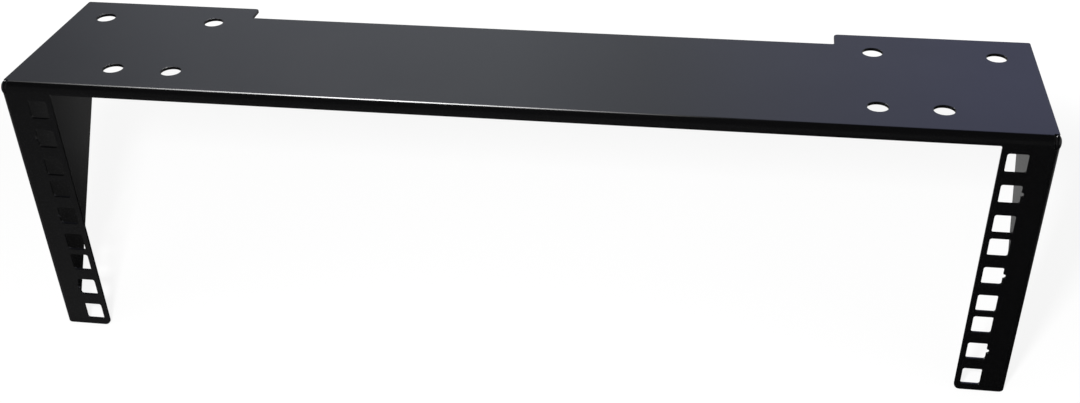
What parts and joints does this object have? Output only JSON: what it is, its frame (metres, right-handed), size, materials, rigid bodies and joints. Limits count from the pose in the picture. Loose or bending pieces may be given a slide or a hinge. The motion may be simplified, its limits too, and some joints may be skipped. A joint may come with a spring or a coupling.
{
  "type": "wall mount rack bracket",
  "caption": "Folded sheet-steel bracket that holds rack equipment against a wall: a drilled plate with legs of square rail holes and sloping side gussets.",
  "frame": {"origin": "on the wall face of the plate, at the centre of the pattern of wall holes", "axes": "+X along the width, -Y out of the front of the rails, +Z out of the wall face, so that the legs hang down towards -Z"},
  "size_m": [0.5008, 0.103, 0.1425],
  "materials": {
    "powder_coated_steel": "fine-grained satin black powder coat"
  },
  "bodies": {
    "root": {"bracket": "powder_coated_steel"}
  },
  "joints": []
}
